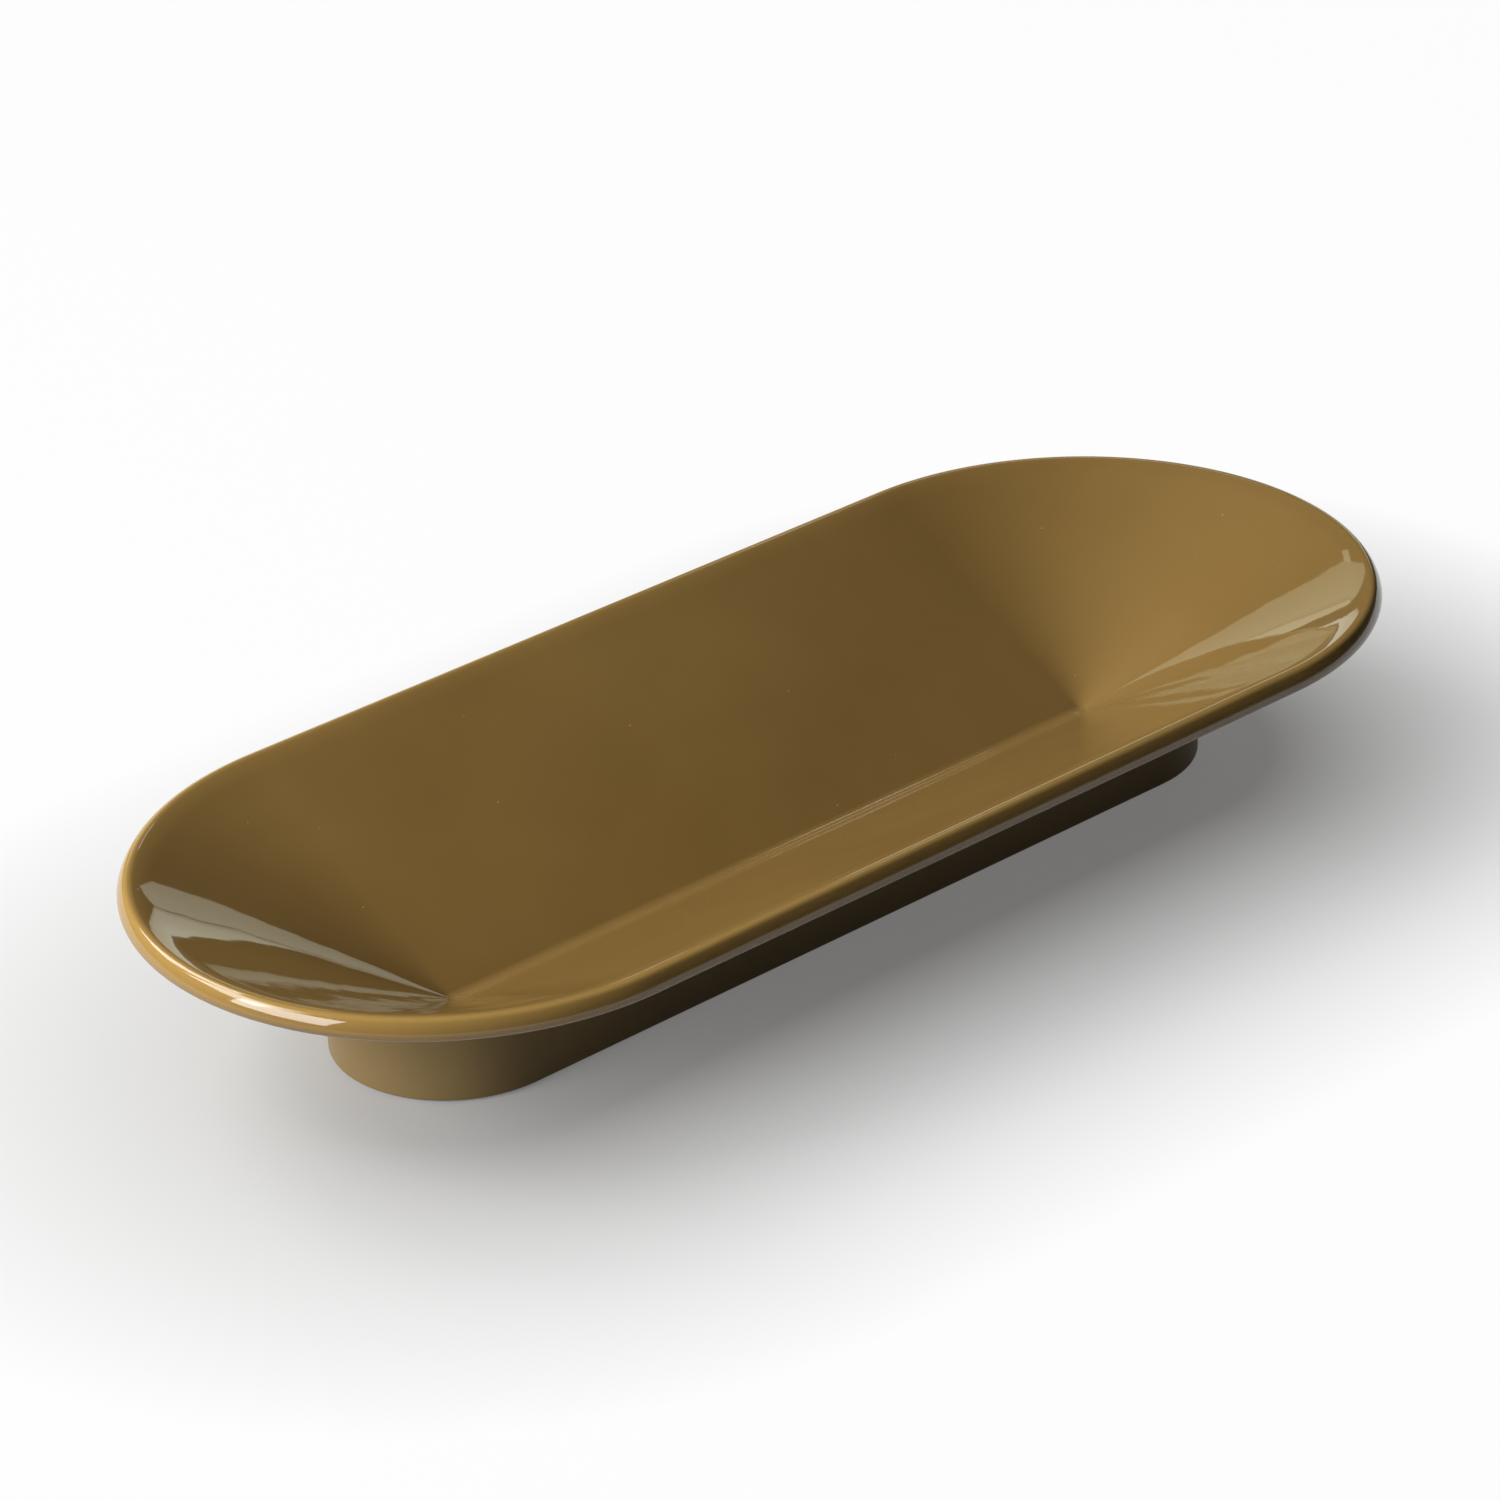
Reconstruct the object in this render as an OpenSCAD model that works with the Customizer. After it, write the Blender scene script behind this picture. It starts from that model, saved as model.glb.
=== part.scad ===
// Long footed dish: a glossy trough with a V-shaped inside and half-cone ends, seated on a
// pill-shaped foot ring. Screws hold the ring from beneath, and rubber bumpers plug their holes.
// Millimetres. X runs along the dish, Z is up, and the origin is on the table under its middle.

/* [Bowl] */
// Length over the rim
bowl_l = 521; // [420:1:640]
// Width over the rim
bowl_w = 220.5; // [200:0.5:250]
// Height of the rim's crest above the table
bowl_h = 70; // [64:0.5:80]
// Height of the trough's floor above the table
floor_z = 16; // [14:0.5:20]
// Thickness of the wall, square to its slope
wall_t = 9; // [8.4:0.1:10]
// Radius along the bottom of the trough
valley_r = 6; // [3:0.5:12]
// Radius on which the slope eases off below the rim
lip_ease_r = 50; // [40:1:70]
// Tilt of the slope where it has eased off, in degrees
lip_ease_tilt = 20; // [16:0.5:22]
// Radius on which it then rolls over into the rim's crest
lip_roll_r = 5; // [3:0.5:8]
// Distance of the rim's crest from its outermost edge
lip_in = 4; // [3.5:0.1:4.5]
// Radius of the rim's upper outer edge
lip_top_r = 2.8; // [2.2:0.1:3.2]
// Radius of the rim's outer face
lip_side_r = 9; // [8:0.5:12]
// Radius of the rim's lower outer edge
lip_low_r = 3.1; // [2.5:0.1:3.5]

/* [Foot] */
// Width of the foot across the dish
foot_w = 87; // [76:0.5:100]
// Thickness of the foot's wall
foot_wall = 16; // [15:0.5:22]
// Radius of the foot's lower outer edge
foot_edge_r = 1; // [0.5:0.1:1.5]
// Glue gap between the foot and the bowl's underside
seat_gap = 0.1; // [0.05:0.01:0.2]

/* [Screws] */
// Distance between the screws along the dish
screw_span = 220; // [120:1:280]
// Outer diameter of the thread
screw_d = 3.5; // [3:0.1:4]
// Diameter of the thread's root
screw_root_d = 2.5; // [2:0.1:2.8]
// Pitch of the thread
screw_pitch = 1.25; // [1:0.05:1.5]
// Length under the head
screw_l = 20; // [18:0.5:24]
// Length of the thread, tip included
thread_l = 13; // [10:0.5:15]
// Depth that the tip reaches into the bowl's wall
screw_bite = 6; // [4:0.1:6.4]
// Diameter of the head
head_d = 7; // [6:0.1:8]
// Height of the head
head_h = 2.4; // [2:0.1:3]
// Length of the head's cross recess
recess_l = 3.6; // [3:0.1:4.4]
// Width of the head's cross recess
recess_w = 0.9; // [0.6:0.1:1.2]
// Depth of the head's cross recess
recess_depth = 1.4; // [1:0.1:1.6]
// Play around the shank and the head, on the radius
screw_play = 0.25; // [0.1:0.05:0.4]
// Play around the thread in the bowl's wall, on the radius
thread_play = 0.05; // [0.02:0.01:0.1]

/* [Bumpers] */
// Diameter of a bumper
bumper_d = 12; // [10:0.5:13]
// Thickness of a bumper
bumper_t = 1.5; // [1.2:0.1:2]
// How far a bumper stands out of the foot
bumper_proud = 0.8; // [0.5:0.1:1]
// Width of the bevel around a bumper's lower edge
bumper_bevel = 0.3; // [0.1:0.05:0.4]
// Play around a bumper in its recess, on the radius
bumper_play = 0.15; // [0.05:0.05:0.3]

/* [Hidden] */
$fn = 96;
ENDS = ["left", "right"];
SIDES = ["front", "back"];
SCREWS = [for (s = SIDES, e = ENDS) str("screw_", s, "_", e)];
BUMPERS = [for (s = SIDES, e = ENDS) str("bumper_", s, "_", e)];

// How far a cut runs past the face it opens
overrun = 1;

// How far a line and a round reach into each other where they join, square to the line and along it
seam = 0.005;
lap = 0.8;

// The ends are half rounds about these two points on the centre line
bowl_r = bowl_w / 2;
end_x = bowl_l / 2 - bowl_r;

// The rim's crest, and the centres of the rounds beside it and along the valley, in the cross-section
crest = [bowl_r - lip_in, bowl_h];
lip_top = [crest.x, crest.y - lip_top_r];
lip_roll = [crest.x, crest.y - lip_roll_r];
square_to_ease = [-sin(lip_ease_tilt), cos(lip_ease_tilt)];
lip_ease = lip_roll - (lip_ease_r - lip_roll_r + seam) * square_to_ease;
valley = [0, floor_z + valley_r];

// The inner slope is the line that touches the easing from above and the valley's round from below
run = lip_ease.x - valley.x;
drop = valley.y - lip_ease.y;
slope = atan2(run, drop) - acos((lip_ease_r + valley_r) / norm([run, drop]));
along_slope = [cos(slope), sin(slope)];
square_to_slope = [-sin(slope), cos(slope)];
ease_touch = lip_ease + lip_ease_r * square_to_slope;
roll_touch = lip_roll + lip_roll_r * square_to_ease;
valley_touch = valley - valley_r * square_to_slope;

// The underside runs parallel to the slope, a wall's thickness below it
belly_r = valley_r + wall_t;
belly_touch = valley - belly_r * square_to_slope;

// Points in the middle of the wall, from which the valley's round and the lip's roll are joined to it
valley_heart = valley + (valley_r + wall_t / 2) * [sin(slope / 2), -cos(slope / 2)];
lip_heart = ease_touch - wall_t / 2 * square_to_slope;

// Height of the underside at a distance from the middle line, and the round between it and the lip
function underside_z(y) = belly_touch.y + (y - belly_touch.x) * tan(slope);
lip_low_x = bowl_r - lip_low_r;
lip_low = [lip_low_x, underside_z(lip_low_x) + lip_low_r / cos(slope)];
lip_low_touch = lip_low - lip_low_r * square_to_slope;

// Centre of the round on the rim's outer face, which runs over into those above and below it
side_to_top = lip_side_r - lip_top_r + seam;
side_to_low = lip_side_r - lip_low_r + seam;
low_to_top = norm(lip_top - lip_low);
function squared(a) = a * a;
lip_angle = acos((squared(side_to_low) + squared(low_to_top) - squared(side_to_top))
    / (2 * side_to_low * low_to_top));
lip_lean = atan2(lip_top.y - lip_low.y, lip_top.x - lip_low.x) + lip_angle;
lip_side = lip_low + side_to_low * [cos(lip_lean), sin(lip_lean)];

// The foot ring stands on the bumpers and reaches up to the underside
foot_r = foot_w / 2;
foot_inner_r = foot_r - foot_wall;
foot_z = bumper_proud;
function seat_z(y) = underside_z(y) - seat_gap / cos(slope);

// The screws stand in the middle of the foot's wall, square to the table
screw_y = foot_r - foot_wall / 2;
tip_z = underside_z(screw_y) + screw_bite;
head_z = tip_z - screw_l;
tip_h = screw_d / 2;
thread_turns = floor((thread_l - tip_h) / screw_pitch);
bumper_recess_h = bumper_t - bumper_proud;

// Place of the screw and the bumper at one side and end, each given as its number in SIDES and ENDS
function corner(side, end) = [(end - 1 / 2) * screw_span, (2 * side - 1) * screw_y, 0];

// A point far beyond the rim on the line from one point through another
function far_out(from, to) = from + bowl_h * (to - from) / norm(to - from);

// Right half of the bowl's cross-section: the sloping wall, the lip's rounds and half the valley
module bowl_section() {
    above = crest.y + overrun;
    below = valley.y - belly_r - overrun;
    into = seam * square_to_slope;
    past = lap * along_slope;
    polygon([
        valley_touch + into - past, valley_heart, belly_touch + into, lip_low_touch + into,
        lip_low, lip_top, lip_heart, ease_touch - into
    ]);
    translate(lip_top) circle(r = lip_top_r);
    translate(lip_low) circle(r = lip_low_r);
    intersection() {
        translate(lip_side) circle(r = lip_side_r);
        polygon([lip_side, far_out(lip_side, lip_top), far_out(lip_side, lip_low)]);
    }
    intersection() {
        translate(lip_ease) circle(r = lip_ease_r);
        polygon([
            lip_heart, lip_top, roll_touch, [roll_touch.x, above],
            [ease_touch.x - past.x, above], ease_touch - past
        ]);
    }
    intersection() {
        translate(lip_roll) circle(r = lip_roll_r);
        polygon([lip_heart, lip_top, crest, [crest.x, above], [roll_touch.x - lap, above]]);
    }
    intersection() {
        difference() {
            translate(valley) circle(r = belly_r);
            translate(valley) circle(r = valley_r);
        }
        polygon([
            valley, valley_touch, belly_touch + past, [belly_touch.x + past.x, below], [0, below]
        ]);
    }
}

// Right half of the foot ring's cross-section, sloped on top to seat the bowl
module foot_section() {
    edge = [foot_r - foot_edge_r, foot_z + foot_edge_r];
    polygon([
        [foot_inner_r, foot_z], [edge.x, foot_z], [foot_r, edge.y],
        [foot_r, seat_z(foot_r)], [foot_inner_r, seat_z(foot_inner_r)]
    ]);
    translate(edge) circle(r = foot_edge_r);
}

// Sweeps a half section round the pill: a half turn at each end and a straight run on each side
module swept_round_pill() {
    for (turn = [0, 180]) rotate([0, 0, turn]) {
        translate([end_x, 0, 0]) rotate([0, 0, -90]) rotate_extrude(angle = 180) children();
        translate([-end_x, 0, 0]) rotate([90, 0, 90]) linear_extrude(height = 2 * end_x) children();
    }
}

// Blind holes in the underside for the threads
module thread_holes() {
    for (side = [0, 1], end = [0, 1])
        translate(corner(side, end))
            translate([0, 0, head_z]) cylinder(r = screw_d / 2 + thread_play, h = screw_l);
}

// Bumper recess, head hole and shank hole in the foot, one below the other
module stepped_hole() {
    translate([0, 0, foot_z - overrun])
        cylinder(r = bumper_d / 2 + bumper_play, h = bumper_recess_h + overrun);
    translate([0, 0, foot_z]) cylinder(r = head_d / 2 + screw_play, h = head_z - foot_z);
    translate([0, 0, foot_z]) cylinder(r = screw_d / 2 + screw_play, h = tip_z - foot_z);
}

// Trough with its rounded rim
module bowl() {
    color([0.56, 0.43, 0.22]) difference() {
        swept_round_pill() bowl_section();
        thread_holes();
    }
}

// Ring that carries the bowl, with a stepped hole for each screw and bumper
module foot() {
    color([0.36, 0.29, 0.17]) difference() {
        swept_round_pill() foot_section();
        for (side = [0, 1], end = [0, 1]) translate(corner(side, end)) stepped_hole();
    }
}

// Screw with a flat-seated round head, a plain shank and a pointed thread drawn as rings
module foot_screw() {
    root_r = screw_root_d / 2;
    top_z = head_z - head_h;
    thread_z = tip_z - tip_h - thread_turns * screw_pitch;
    head = [[0, top_z], [head_d / 2, top_z], [head_d / 2, head_z], [root_r, head_z]];
    thread = [for (i = [0 : thread_turns - 1]) each [
        [root_r, thread_z + i * screw_pitch],
        [screw_d / 2, thread_z + (i + 1 / 2) * screw_pitch]
    ]];
    tip = [[root_r, tip_z - tip_h], [0, tip_z]];
    color([0.72, 0.72, 0.70]) difference() {
        rotate_extrude() polygon(concat(head, thread, tip));
        for (turn = [0, 90]) rotate([0, 0, turn])
            translate([-recess_l / 2, -recess_w / 2, top_z - overrun])
                cube([recess_l, recess_w, recess_depth + overrun]);
    }
}

// Rubber disc let into the foot, with a bevelled lower edge
module bumper() {
    color([0.16, 0.15, 0.14]) rotate_extrude() polygon([
        [0, 0], [bumper_d / 2 - bumper_bevel, 0], [bumper_d / 2, bumper_bevel],
        [bumper_d / 2, bumper_t], [0, bumper_t]
    ]);
}

bowl();
foot();
for (side = [0, 1], end = [0, 1]) {
    place = corner(side, end);
    index = side * len(ENDS) + end;
    translate(place) foot_screw();
    translate(place) bumper();
}
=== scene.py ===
"""Looks of the long footed dish: a gloss-lacquered trough on a satin foot, on a pale studio floor.

Everything is in metres in the CAD frame: X along the dish, Z up, the table at 0.
"""

import math

import bpy
from mathutils import Matrix, Vector


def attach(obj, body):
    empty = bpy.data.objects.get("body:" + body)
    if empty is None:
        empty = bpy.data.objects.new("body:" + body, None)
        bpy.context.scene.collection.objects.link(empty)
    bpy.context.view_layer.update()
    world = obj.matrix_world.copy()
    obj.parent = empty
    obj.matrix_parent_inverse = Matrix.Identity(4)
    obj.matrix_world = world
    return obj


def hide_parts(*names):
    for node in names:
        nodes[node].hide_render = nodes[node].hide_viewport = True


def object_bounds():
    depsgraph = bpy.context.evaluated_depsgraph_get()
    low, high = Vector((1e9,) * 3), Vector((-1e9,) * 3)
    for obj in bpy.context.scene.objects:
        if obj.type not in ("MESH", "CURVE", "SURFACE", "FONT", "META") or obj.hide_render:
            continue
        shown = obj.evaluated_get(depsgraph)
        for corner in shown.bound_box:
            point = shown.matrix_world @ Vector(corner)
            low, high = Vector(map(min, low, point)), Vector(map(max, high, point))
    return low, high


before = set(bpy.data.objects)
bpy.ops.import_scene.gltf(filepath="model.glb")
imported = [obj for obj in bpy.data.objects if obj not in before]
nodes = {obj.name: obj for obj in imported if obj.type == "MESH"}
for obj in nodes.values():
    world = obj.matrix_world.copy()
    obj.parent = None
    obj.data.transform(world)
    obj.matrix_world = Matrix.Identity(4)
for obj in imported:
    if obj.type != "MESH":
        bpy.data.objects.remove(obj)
cad_low, cad_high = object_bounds()

# Sizes of the bowl's section. The outer ones are the frame's own, the others are the CAD source's.
BOWL_R = cad_high.y
BOWL_H = cad_high.z
END_X = cad_high.x - BOWL_R
FLOOR_Z = 0.016
WALL_T = 0.009
VALLEY_R = 0.006
LIP_EASE_R = 0.05
LIP_EASE_TILT = 20.0
LIP_ROLL_R = 0.005
LIP_IN = 0.004
LIP_TOP_R = 0.0028
LIP_SIDE_R = 0.009
LIP_LOW_R = 0.0031

# Where a painted sheen makes the lip paler, in place of the golden light the lamps put on its top: the tilt
# of its surface there, how far that spreads in degrees, and how far it reaches inside the crest
SHEEN_TILT = 25.0
SHEEN_SPREAD = 38.0
SHEEN_REACH = 0.002

# How finely the bowl is meshed: steps round each half-round end, along each straight side, and along each
# stretch of its section
TURN_STEPS = 120
RUN_STEPS = 90
VALLEY_STEPS = 8
SLOPE_STEPS = 44
EASE_STEPS = 10
ROLL_STEPS = 10
TOP_STEPS = 12
SIDE_STEPS = 8
LOW_STEPS = 16
UNDER_STEPS = 36

# Linear colours
LACQUER = (0.232, 0.140, 0.0395)
LACQUER_PALE = (0.258, 0.157, 0.047)
LACQUER_DEEP = (0.208, 0.121, 0.033)
# Paler, golden lacquer painted on the lip's top as a painted sheen, where the lamps light it
LACQUER_PAINTED_SHEEN = (0.35, 0.216, 0.060)
SATIN = (0.235, 0.161, 0.065)
SATIN_PALE = (0.263, 0.182, 0.076)
SATIN_DEEP = (0.213, 0.144, 0.056)
DUST = (0.42, 0.36, 0.24)
ZINC = (0.56, 0.56, 0.53)
ZINC_BLUE = (0.47, 0.50, 0.52)
RUBBER = (0.028, 0.026, 0.024)
RUBBER_DUSTY = (0.06, 0.056, 0.05)
FLOOR_COLOUR = (0.48, 0.48, 0.475)
FLOOR_SHADED = tuple(0.985 * part for part in FLOOR_COLOUR)

# Patterns of the materials as cells per metre, detail and, for one, roughness of the noise
GLOSS_CLOUDS = (9.0, 3.0)
GLOSS_SPECKLE = (2600.0, 1.0)
SATIN_CLOUDS = (14.0, 4.0)
SATIN_SPECKLE = (1800.0, 2.0)
ZINC_CAST = (320.0, 3.0)
RUBBER_DUST = (600.0, 5.0, 0.7)
FLOOR_MOTTLE = (3.0, 3.0)

# Dust specks in the gloss: cells per metre, and where a speck's edge lies in its cell
SPECK_CELLS = 75.0
SPECK_EDGE = (0.012, 0.03)

# Patches of roughness: cells per metre, detail, lowest and highest roughness
GLOSS_PATCHES = (30.0, 4.0, 0.30, 0.40)
SATIN_PATCHES = (40.0, 4.0, 0.36, 0.48)
ZINC_PATCHES = (900.0, 3.0, 0.28, 0.45)
RUBBER_ROUGHNESS = (0.6, 0.85)

# Bumps: cells per metre, detail and height in metres
WAVES = (22.0, 1.0, 0.0003)
RIPPLES = (60.0, 1.0, 0.0001)
ORANGE_PEEL = (420.0, 2.0, 0.000006)
SPRAY = (900.0, 3.0, 0.00002)
TURNING_MARKS = (4000.0, 2.0, 0.00001)
RUBBER_GRAIN = (5000.0, 2.0, 0.00003)
SPECK_HEIGHT = 0.00004

# The range that holds most of a noise's values
NOISE_RANGE = (0.3, 0.7)
SPECKLE_RANGE = (0.25, 0.75)

# The camera, fitted to the photograph's outline, rim, valley and foot
CAMERA_AZIMUTH = math.radians(-41.1295)
CAMERA_ELEVATION = math.radians(27.5185)
CAMERA_ROLL = -0.034289
CAMERA_DISTANCE = 2.056856
CAMERA_SIDE = -0.009531
CAMERA_UP = 0.049051
SENSOR = 36.0
CAMERA_LENS = 138.543
CAMERA_CLIP = (0.05, 60.0)

# Softboxes: name, azimuth from +X and elevation in degrees, distance, width, height, radiance, tint
WHITE = (1.0, 1.0, 1.0)
CREAM = (0.975, 1.0, 0.80)
STRAW = (0.955, 1.0, 0.70)
SOFTBOXES = (
    ("key", 149, 38, 1.6, 0.85, 0.76, 8.6, WHITE),
    ("key_wing", 106, 42, 1.6, 0.66, 0.68, 7.6, WHITE),
    ("side", 174, 24, 1.8, 1.00, 0.78, 10.0, WHITE),
    ("back_lamp", 42, 35, 2.5, 0.16, 0.22, 2.4, WHITE),
    ("right_card", 63, 27, 2.6, 0.12, 0.20, 1.4, STRAW),
)

# The backdrop stands upright behind the dish, in panels that leave its middle dark. Its azimuth and
# distance, and its lit panels as name, azimuths and elevations of their edges seen from the dish in
# degrees, radiance and tint
BACKDROP_AZIMUTH = 48.5
BACKDROP_AWAY = 3.0
BACKDROP_PANELS = (
    ("left_low", 27.0, 53.5, 3.0, 11.0, 1.24, CREAM),
    ("left_seam", 27.0, 53.5, 11.0, 12.2, 0.95, CREAM),
    ("left_middle", 27.0, 37.5, 12.2, 21.0, 1.06, CREAM),
    ("right_low", 56.5, 74.0, 3.0, 11.0, 1.22, STRAW),
    ("right_seam", 56.5, 74.0, 11.0, 12.2, 0.74, STRAW),
    ("right_middle", 56.5, 74.0, 12.2, 24.8, 0.93, STRAW),
)
AIM = Vector((0.0, 0.0, 0.05))
ROOM_DARK = (0.03, 0.03, 0.03)
ROOM_PALE = (0.15, 0.15, 0.15)
HORIZON = (0.02, 0.12)
FLOOR_HALF = 12.0

# How far from the dish's middle line the floor's white glow sets in and is full, and its shares there
GLOW_FROM_TO = (0.07, 0.24)
GLOW_SHARES = (0.16, 0.97)


def arc(centre, radius, start, end, steps, facing=1):
    """Points of an arc as (r, z, normal r, normal z). Angles in degrees; facing -1 is a hollow."""
    points = []
    for i in range(steps + 1):
        angle = math.radians(start + (end - start) * i / steps)
        c, s = math.cos(angle), math.sin(angle)
        points.append((centre[0] + radius * c, centre[1] + radius * s, facing * c, facing * s))
    return points


def line(start, end, normal, steps):
    """Points strictly between start and end, as (r, z, normal r, normal z)."""
    share = [i / steps for i in range(1, steps)]
    return [
        (start[0] + (end[0] - start[0]) * t, start[1] + (end[1] - start[1]) * t, *normal) for t in share
    ]


def lip_side(top, low):
    """Centre of the round between the lip's top and low ones, and the angles at which it meets them."""
    to_top, to_low = LIP_SIDE_R - LIP_TOP_R, LIP_SIDE_R - LIP_LOW_R
    gap = math.dist(top, low)
    lean = math.atan2(top[1] - low[1], top[0] - low[0])
    lean += math.acos((to_low**2 + gap**2 - to_top**2) / (2 * to_low * gap))
    side = (low[0] + to_low * math.cos(lean), low[1] + to_low * math.sin(lean))
    angles = [math.degrees(math.atan2(end[1] - side[1], end[0] - side[0])) for end in (top, low)]
    return side, *angles


def bowl_outline():
    """Half of the bowl's section, from the valley up over the rim and back under the belly."""
    crest_r = BOWL_R - LIP_IN
    roll = (crest_r, BOWL_H - LIP_ROLL_R)
    valley = (0.0, FLOOR_Z + VALLEY_R)
    tilt = math.radians(LIP_EASE_TILT)
    reach = LIP_EASE_R - LIP_ROLL_R
    ease = (roll[0] + reach * math.sin(tilt), roll[1] - reach * math.cos(tilt))
    run, drop = ease[0], valley[1] - ease[1]
    slope = math.atan2(run, drop) - math.acos((LIP_EASE_R + VALLEY_R) / math.hypot(run, drop))
    square = (-math.sin(slope), math.cos(slope))
    belly_r = VALLEY_R + WALL_T
    turn = math.degrees(slope)
    top = (crest_r, BOWL_H - LIP_TOP_R)
    low_r = BOWL_R - LIP_LOW_R
    low_z = valley[1] - belly_r / math.cos(slope) + low_r * math.tan(slope) + LIP_LOW_R / math.cos(slope)
    side, side_start, side_end = lip_side(top, (low_r, low_z))
    valley_arc = arc(valley, VALLEY_R, -90, -90 + turn, VALLEY_STEPS, -1)
    ease_arc = arc(ease, LIP_EASE_R, 90 + turn, 90 + LIP_EASE_TILT, EASE_STEPS)
    roll_arc = arc(roll, LIP_ROLL_R, 90 + LIP_EASE_TILT, 90, ROLL_STEPS)
    top_arc = arc(top, LIP_TOP_R, 90, side_start, TOP_STEPS)
    side_arc = arc(side, LIP_SIDE_R, side_start, side_end, SIDE_STEPS)
    low_arc = arc((low_r, low_z), LIP_LOW_R, side_end, turn - 90, LOW_STEPS)
    belly_arc = arc(valley, belly_r, turn - 90, -90, VALLEY_STEPS)
    slope_line = line(valley_arc[-1], ease_arc[0], square, SLOPE_STEPS)
    under_line = line(low_arc[-1], belly_arc[0], (-square[0], -square[1]), UNDER_STEPS)
    outline = valley_arc + slope_line + ease_arc + roll_arc[1:]
    outline += top_arc[1:] + side_arc[1:] + low_arc[1:] + under_line + belly_arc
    outline[0] = (0.0, *outline[0][1:])
    outline[-1] = (0.0, *outline[-1][1:])
    return outline


def painted_sheen_share(r, normal_r, normal_z):
    """How much painted sheen a point gets, from 0 to 1: most where the lip's top tilts outward, near the
    crest.
    """
    inside = max(BOWL_R - LIP_IN - r, 0.0)
    tilt = math.degrees(math.atan2(normal_r, normal_z))
    return math.exp(-(((tilt - SHEEN_TILT) / SHEEN_SPREAD) ** 2) - (inside / SHEEN_REACH) ** 2)


def pill_stations():
    """Places round the pill as (centre x, outward x, outward y), against the clock from the front right."""
    stations = []
    for side in (1, -1):
        for i in range(TURN_STEPS):
            angle = math.radians(-90 + 180 * i / TURN_STEPS)
            stations.append((side * END_X, side * math.cos(angle), side * math.sin(angle)))
        stations += [(side * END_X * (1 - 2 * i / RUN_STEPS), 0.0, float(side)) for i in range(RUN_STEPS)]
    return stations


def swept_pill(name, outline):
    """Mesh of an outline that ends on the middle line, swept round the pill, with its true normals."""
    verts, normals, edges, rings, placed = [], [], [], [], {}
    for centre_x, out_x, out_y in pill_stations():
        ring = []
        for r, z, normal_r, normal_z in outline:
            key = (round(centre_x, 7), z) if r == 0.0 else len(verts)
            if key not in placed:
                placed[key] = len(verts)
                verts.append((centre_x + r * out_x, r * out_y, z))
                normals.append((normal_r * out_x, normal_r * out_y, normal_z))
                edges.append(painted_sheen_share(r, normal_r, normal_z))
            ring.append(placed[key])
        rings.append(ring)
    faces = []
    for ring, following in zip(rings, rings[1:] + rings[:1]):
        for i in range(len(outline) - 1):
            corners = (ring[i], ring[i + 1], following[i + 1], following[i])
            face = list(dict.fromkeys(corners))
            if len(face) > 2:
                faces.append(face)
    mesh = bpy.data.meshes.new(name)
    mesh.from_pydata(verts, [], faces)
    mesh.polygons.foreach_set("use_smooth", [True] * len(mesh.polygons))
    mesh.normals_split_custom_set_from_vertices(normals)
    # The edge attribute holds each point's share of painted sheen on the lip
    edge = mesh.attributes.new("edge", "FLOAT", "POINT")
    edge.data.foreach_set("value", edges)
    mesh.validate(clean_customdata=False)
    piece = bpy.data.objects.new(name, mesh)
    bpy.context.scene.collection.objects.link(piece)
    return piece


def add(tree, kind, settings=None, **sockets):
    """Adds a shader node. A socket's value is a number, a colour or another node's output."""
    made = tree.nodes.new(kind)
    for name, value in (settings or {}).items():
        setattr(made, name, value)
    for name, value in sockets.items():
        socket = made.inputs[name.replace("_", " ")]
        if isinstance(value, bpy.types.NodeSocket):
            tree.links.new(value, socket)
        else:
            socket.default_value = (*value, 1.0) if socket.type == "RGBA" and len(value) == 3 else value
    return made


def noise(tree, place, scale, detail=2.0, roughness=0.5):
    """Noise at a number of cells per metre, from 0 to 1."""
    made = add(tree, "ShaderNodeTexNoise", Vector=place, Scale=scale, Detail=detail, Roughness=roughness)
    return made.outputs["Fac"]


def mapped(tree, value, low, high, out_low, out_high):
    """Value from low to high stretched to the range from out_low to out_high, and held there."""
    made = add(tree, "ShaderNodeMapRange", Value=value, From_Min=low, From_Max=high)
    made.inputs["To Min"].default_value = out_low
    made.inputs["To Max"].default_value = out_high
    return made.outputs["Result"]


def blended(tree, share, first, second):
    """Colour between two colours, by share."""
    made = add(tree, "ShaderNodeMix", {"data_type": "RGBA"}, Factor=share)
    for index, colour in ((6, first), (7, second)):
        if isinstance(colour, bpy.types.NodeSocket):
            tree.links.new(colour, made.inputs[index])
        else:
            made.inputs[index].default_value = (*colour, 1.0)
    return made.outputs[2]


def math_node(tree, operation, first, second=0.0):
    """Result of a sum on two numbers or sockets."""
    made = add(tree, "ShaderNodeMath", {"operation": operation})
    for socket, value in zip(made.inputs, (first, second)):
        if isinstance(value, bpy.types.NodeSocket):
            tree.links.new(value, socket)
        else:
            socket.default_value = value
    return made.outputs["Value"]


def bumped(tree, height, distance, under=None):
    """Normal of a surface raised by height times distance, on top of another bump's normal."""
    sockets = {"Height": height, "Distance": distance, "Strength": 1.0}
    if under is not None:
        sockets["Normal"] = under
    return add(tree, "ShaderNodeBump", **sockets).outputs["Normal"]


def noise_bump(tree, place, pattern, under=None):
    """Normal of a surface raised by noise, from cells per metre, detail and height."""
    *grain, height = pattern
    return bumped(tree, noise(tree, place, *grain), height, under)


def rough_patches(tree, place, patches):
    """Roughness in patches, from cells per metre, detail, lowest and highest roughness."""
    *grain, lowest, highest = patches
    return mapped(tree, noise(tree, place, *grain), *NOISE_RANGE, lowest, highest)


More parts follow.
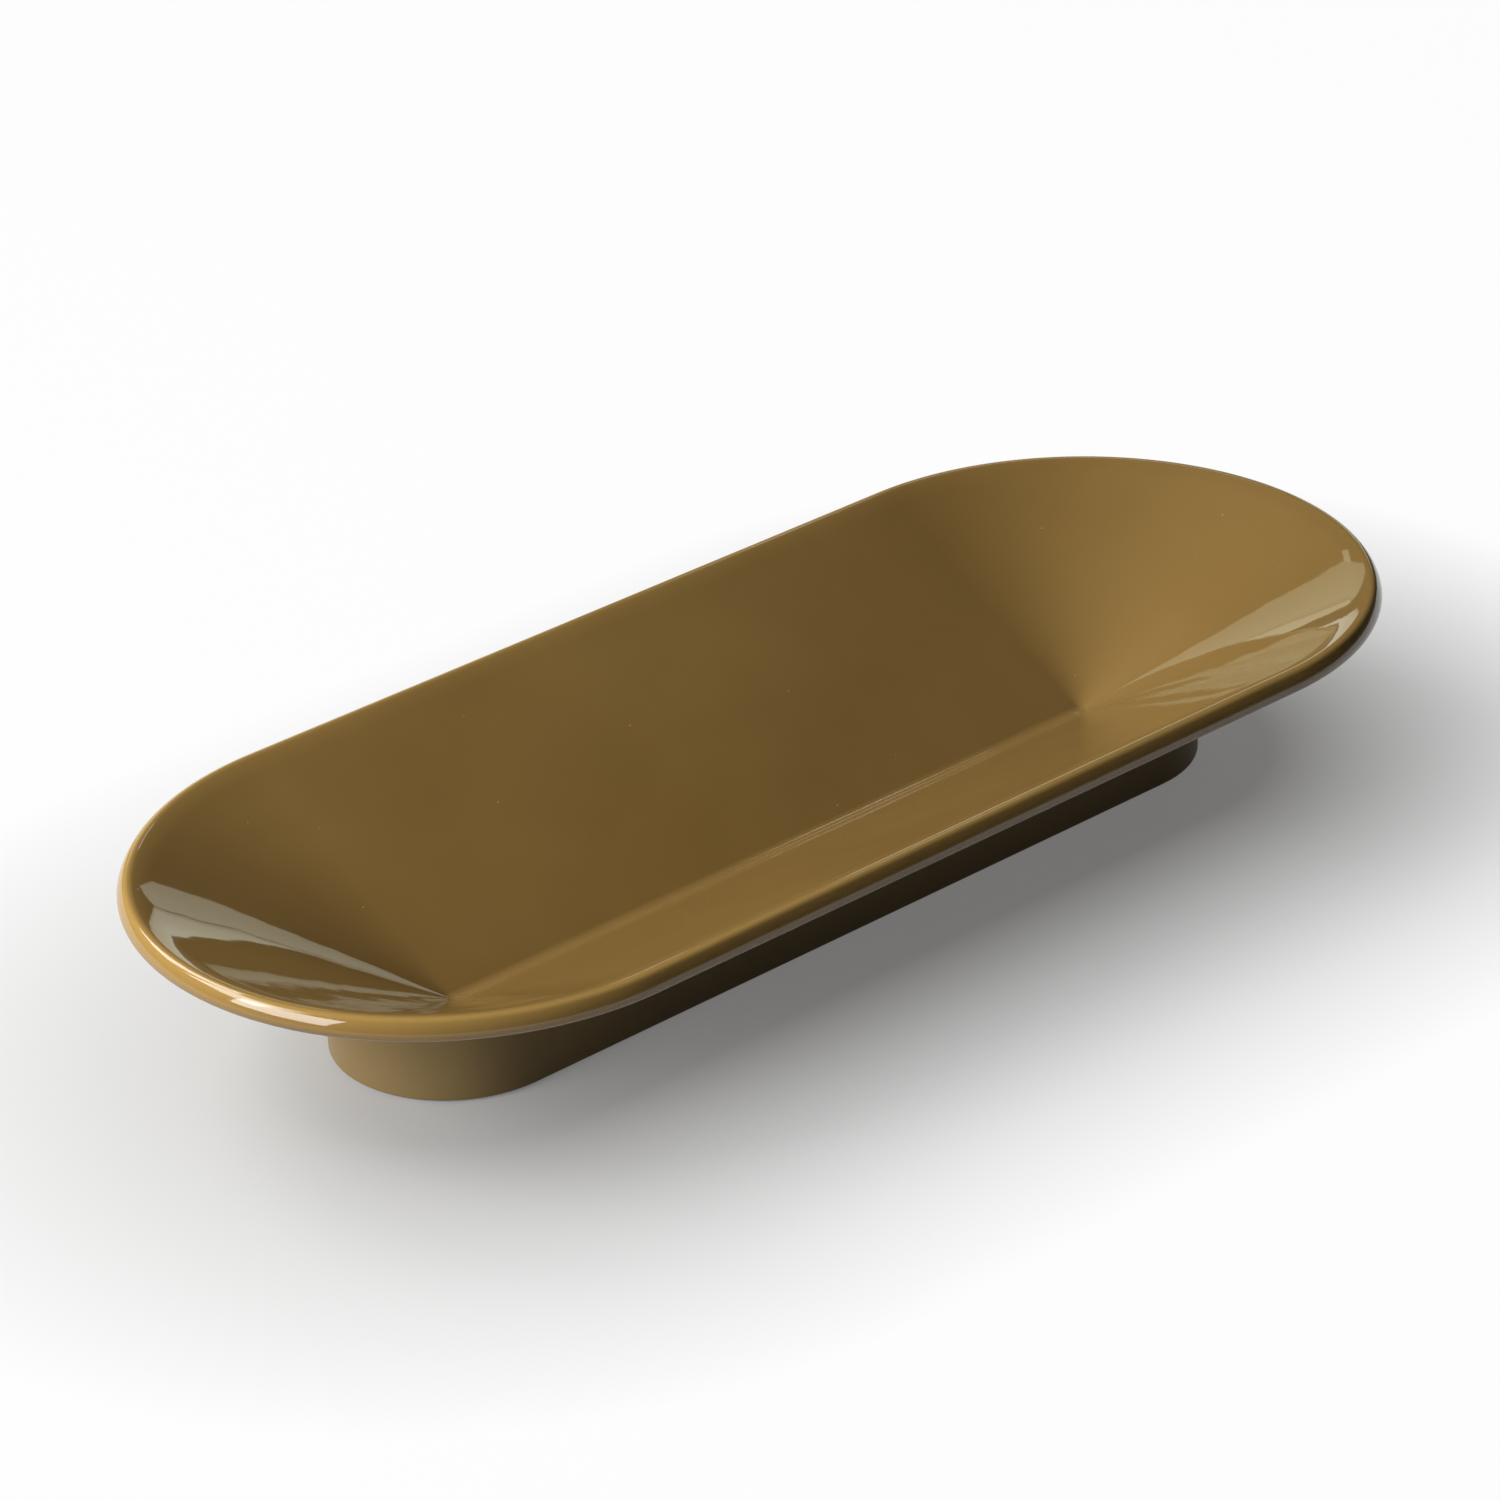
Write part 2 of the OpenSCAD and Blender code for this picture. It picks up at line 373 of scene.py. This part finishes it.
def new_material(name):
    """An empty material: its tree, its shader and the place on the object in metres."""
    material = bpy.data.materials.new(name)
    material.use_nodes = True
    tree = material.node_tree
    shader = tree.nodes["Principled BSDF"]
    place = add(tree, "ShaderNodeTexCoord").outputs["Object"]
    return material, tree, shader, place


def gloss_lacquer():
    """Pigmented lacquer under a clear coat: slow waves, orange peel, a few dust specks, and paler lacquer
    painted on the lip as a sheen where the lamps light it.
    """
    material, tree, shader, place = new_material("gloss_lacquer")
    cloud = mapped(tree, noise(tree, place, *GLOSS_CLOUDS), *NOISE_RANGE, 0.0, 1.0)
    colour = blended(tree, cloud, LACQUER_DEEP, LACQUER_PALE)
    speckle = mapped(tree, noise(tree, place, *GLOSS_SPECKLE), *SPECKLE_RANGE, 0.0, 0.35)
    colour = blended(tree, speckle, colour, LACQUER)
    cells = add(tree, "ShaderNodeTexVoronoi", Vector=place, Scale=SPECK_CELLS, Randomness=1.0)
    speck = mapped(tree, cells.outputs["Distance"], *SPECK_EDGE, 1.0, 0.0)
    colour = blended(tree, speck, colour, DUST)
    # Painted sheen: the lip's top gets paler, golden lacquer in place of the lamps' light there
    edge = add(tree, "ShaderNodeAttribute", {"attribute_name": "edge"}).outputs["Fac"]
    colour = blended(tree, edge, colour, LACQUER_PAINTED_SHEEN)
    tree.links.new(colour, shader.inputs["Base Color"])
    tree.links.new(rough_patches(tree, place, GLOSS_PATCHES), shader.inputs["Roughness"])
    waves = noise_bump(tree, place, WAVES)
    ripples = noise_bump(tree, place, RIPPLES, waves)
    peel = noise_bump(tree, place, ORANGE_PEEL, ripples)
    nibs = bumped(tree, speck, SPECK_HEIGHT, peel)
    tree.links.new(nibs, shader.inputs["Normal"])
    tree.links.new(nibs, shader.inputs["Coat Normal"])
    shader.inputs["Specular IOR Level"].default_value = 0.0
    shader.inputs["Coat Weight"].default_value = 1.0
    shader.inputs["Coat Roughness"].default_value = 0.04
    shader.inputs["Coat IOR"].default_value = 1.5
    return material


def satin_lacquer():
    """The same lacquer rubbed down to a satin: softer gloss, a fine spray texture, rubbed patches."""
    material, tree, shader, place = new_material("satin_lacquer")
    cloud = mapped(tree, noise(tree, place, *SATIN_CLOUDS), *NOISE_RANGE, 0.0, 1.0)
    colour = blended(tree, cloud, SATIN_DEEP, SATIN_PALE)
    speckle = mapped(tree, noise(tree, place, *SATIN_SPECKLE), *SPECKLE_RANGE, 0.0, 0.5)
    colour = blended(tree, speckle, colour, SATIN)
    tree.links.new(colour, shader.inputs["Base Color"])
    tree.links.new(rough_patches(tree, place, SATIN_PATCHES), shader.inputs["Roughness"])
    tree.links.new(noise_bump(tree, place, SPRAY), shader.inputs["Normal"])
    shader.inputs["Specular IOR Level"].default_value = 0.25
    return material


def screw_steel():
    """Zinc-plated steel with a bluish cast in patches and fine turning marks."""
    material, tree, shader, place = new_material("screw_steel")
    cast = mapped(tree, noise(tree, place, *ZINC_CAST), 0.35, 0.65, 0.0, 1.0)
    tree.links.new(blended(tree, cast, ZINC, ZINC_BLUE), shader.inputs["Base Color"])
    tree.links.new(rough_patches(tree, place, ZINC_PATCHES), shader.inputs["Roughness"])
    tree.links.new(noise_bump(tree, place, TURNING_MARKS), shader.inputs["Normal"])
    shader.inputs["Metallic"].default_value = 1.0
    return material


def bumper_rubber():
    """Dark moulded rubber with a fine grain and a little dust."""
    material, tree, shader, place = new_material("bumper_rubber")
    dust = mapped(tree, noise(tree, place, *RUBBER_DUST), 0.45, 0.75, 0.0, 1.0)
    tree.links.new(blended(tree, dust, RUBBER, RUBBER_DUSTY), shader.inputs["Base Color"])
    tree.links.new(mapped(tree, dust, 0.0, 1.0, *RUBBER_ROUGHNESS), shader.inputs["Roughness"])
    tree.links.new(noise_bump(tree, place, RUBBER_GRAIN), shader.inputs["Normal"])
    shader.inputs["Specular IOR Level"].default_value = 0.35
    return material


def paint(piece, material):
    """Gives a piece one material all over."""
    piece.data.materials.clear()
    piece.data.materials.append(material)


def seen_share(tree):
    """1 for rays that show the stage: straight to the camera, mirrored or through glass. Else 0."""
    path = add(tree, "ShaderNodeLightPath").outputs
    either = math_node(tree, "MAXIMUM", path["Is Camera Ray"], path["Is Glossy Ray"])
    return math_node(tree, "MAXIMUM", either, path["Is Transmission Ray"])


def distance_from_middle(tree, place):
    """Distance on the floor from the line through the middle of the dish, in metres."""
    parts = add(tree, "ShaderNodeSeparateXYZ", Vector=place).outputs
    beyond = math_node(tree, "SUBTRACT", math_node(tree, "ABSOLUTE", parts["X"]), END_X)
    beyond = math_node(tree, "MAXIMUM", beyond, 0.0)
    joined = add(tree, "ShaderNodeCombineXYZ", X=beyond, Y=parts["Y"]).outputs["Vector"]
    return add(tree, "ShaderNodeVectorMath", {"operation": "LENGTH"}, Vector=joined).outputs["Value"]


def make_floor():
    """Wide pale floor that keeps the dish's shadow and turns white away from it."""
    mesh = bpy.data.meshes.new("floor")
    turns = ((-1, -1), (1, -1), (1, 1), (-1, 1))
    mesh.from_pydata([(x * FLOOR_HALF, y * FLOOR_HALF, 0.0) for x, y in turns], [], [(0, 1, 2, 3)])
    floor = bpy.data.objects.new("floor", mesh)
    bpy.context.scene.collection.objects.link(floor)
    material, tree, shader, place = new_material("floor_paper")
    mottle = mapped(tree, noise(tree, place, *FLOOR_MOTTLE), *NOISE_RANGE, 0.0, 1.0)
    tree.links.new(blended(tree, mottle, FLOOR_COLOUR, FLOOR_SHADED), shader.inputs["Base Color"])
    shader.inputs["Roughness"].default_value = 0.9
    shader.inputs["Specular IOR Level"].default_value = 0.1
    glow = add(tree, "ShaderNodeEmission", Color=WHITE, Strength=1.0)
    away = mapped(tree, distance_from_middle(tree, place), *GLOW_FROM_TO, *GLOW_SHARES)
    share = math_node(tree, "MULTIPLY", away, seen_share(tree))
    mixed = add(tree, "ShaderNodeMixShader", Fac=share)
    tree.links.new(shader.outputs["BSDF"], mixed.inputs[1])
    tree.links.new(glow.outputs["Emission"], mixed.inputs[2])
    tree.links.new(mixed.outputs["Shader"], tree.nodes["Material Output"].inputs["Surface"])
    paint(floor, material)


def make_world():
    """Dim room with a pale horizon."""
    world = bpy.data.worlds.new("room")
    world.use_nodes = True
    bpy.context.scene.world = world
    tree = world.node_tree
    direction = add(tree, "ShaderNodeTexCoord").outputs["Generated"]
    height = add(tree, "ShaderNodeSeparateXYZ", Vector=direction).outputs["Z"]
    share = mapped(tree, height, *HORIZON, 1.0, 0.0)
    colour = blended(tree, share, ROOM_DARK, ROOM_PALE)
    tree.links.new(colour, tree.nodes["Background"].inputs["Color"])
    tree.nodes["Background"].inputs["Strength"].default_value = 1.0


def add_area_light(name, place, back, width, height, radiance, tint):
    """A rectangular light with its back turned to a direction. The camera doesn't see it."""
    data = bpy.data.lights.new(name, "AREA")
    data.shape = "RECTANGLE"
    data.size, data.size_y = width, height
    data.energy = radiance * math.pi * width * height
    data.color = tint
    light = bpy.data.objects.new(name, data)
    bpy.context.scene.collection.objects.link(light)
    light.location = place
    light.rotation_mode = "QUATERNION"
    light.rotation_quaternion = back.to_track_quat("Z", "Y")
    light.visible_camera = False


def make_softbox(name, azimuth, elevation, distance, width, height, radiance, tint):
    """A rectangular studio light that faces the dish."""
    a, e = math.radians(azimuth), math.radians(elevation)
    out = Vector((math.cos(a) * math.cos(e), math.sin(a) * math.cos(e), math.sin(e)))
    add_area_light(name, AIM + out * distance, out, width, height, radiance, tint)


def make_backdrop():
    """Upright lit panels behind the dish. The camera doesn't see them."""
    a = math.radians(BACKDROP_AZIMUTH)
    out = Vector((math.cos(a), math.sin(a), 0.0))
    along = Vector((-math.sin(a), math.cos(a), 0.0))
    for name, first, last, lowest, highest, radiance, tint in BACKDROP_PANELS:
        start, end = (BACKDROP_AWAY * math.tan(math.radians(side) - a) for side in (first, last))
        middle = math.radians((first + last) / 2) - a
        low_z, high_z = (
            BACKDROP_AWAY / math.cos(middle) * math.tan(math.radians(level)) for level in (lowest, highest)
        )
        place = out * BACKDROP_AWAY + along * (start + end) / 2
        place.z = AIM.z + (low_z + high_z) / 2
        add_area_light(name, place, out, end - start, high_z - low_z, radiance, tint)


def make_camera():
    """The photograph's camera: its place, turn and lens."""
    a, e, roll = CAMERA_AZIMUTH, CAMERA_ELEVATION, CAMERA_ROLL
    back = Vector((math.sin(a) * math.cos(e), -math.cos(a) * math.cos(e), math.sin(e)))
    right = Vector((math.cos(a), math.sin(a), 0.0))
    up = back.cross(right)
    data = bpy.data.cameras.new("camera")
    data.sensor_width = SENSOR
    data.lens = CAMERA_LENS
    data.clip_start, data.clip_end = CAMERA_CLIP
    camera = bpy.data.objects.new("camera", data)
    bpy.context.scene.collection.objects.link(camera)
    place = back * CAMERA_DISTANCE + right * CAMERA_SIDE + up * CAMERA_UP
    tilted_right = right * math.cos(roll) + up * math.sin(roll)
    tilted_up = up * math.cos(roll) - right * math.sin(roll)
    turn = Matrix((tilted_right, tilted_up, back)).transposed()
    camera.matrix_world = Matrix.Translation(place) @ turn.to_4x4()
    bpy.context.scene.camera = camera


bowl = swept_pill("lacquered_bowl", bowl_outline())
paint(bowl, gloss_lacquer())
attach(bowl, "root")
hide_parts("bowl")

paint(nodes["foot"], satin_lacquer())
steel, rubber = screw_steel(), bumper_rubber()
for name, node in nodes.items():
    if name.startswith("screw_"):
        paint(node, steel)
    if name.startswith("bumper_"):
        paint(node, rubber)

make_floor()
make_world()
for softbox in SOFTBOXES:
    make_softbox(*softbox)
make_backdrop()
make_camera()
bpy.context.scene.view_settings.view_transform = "Standard"
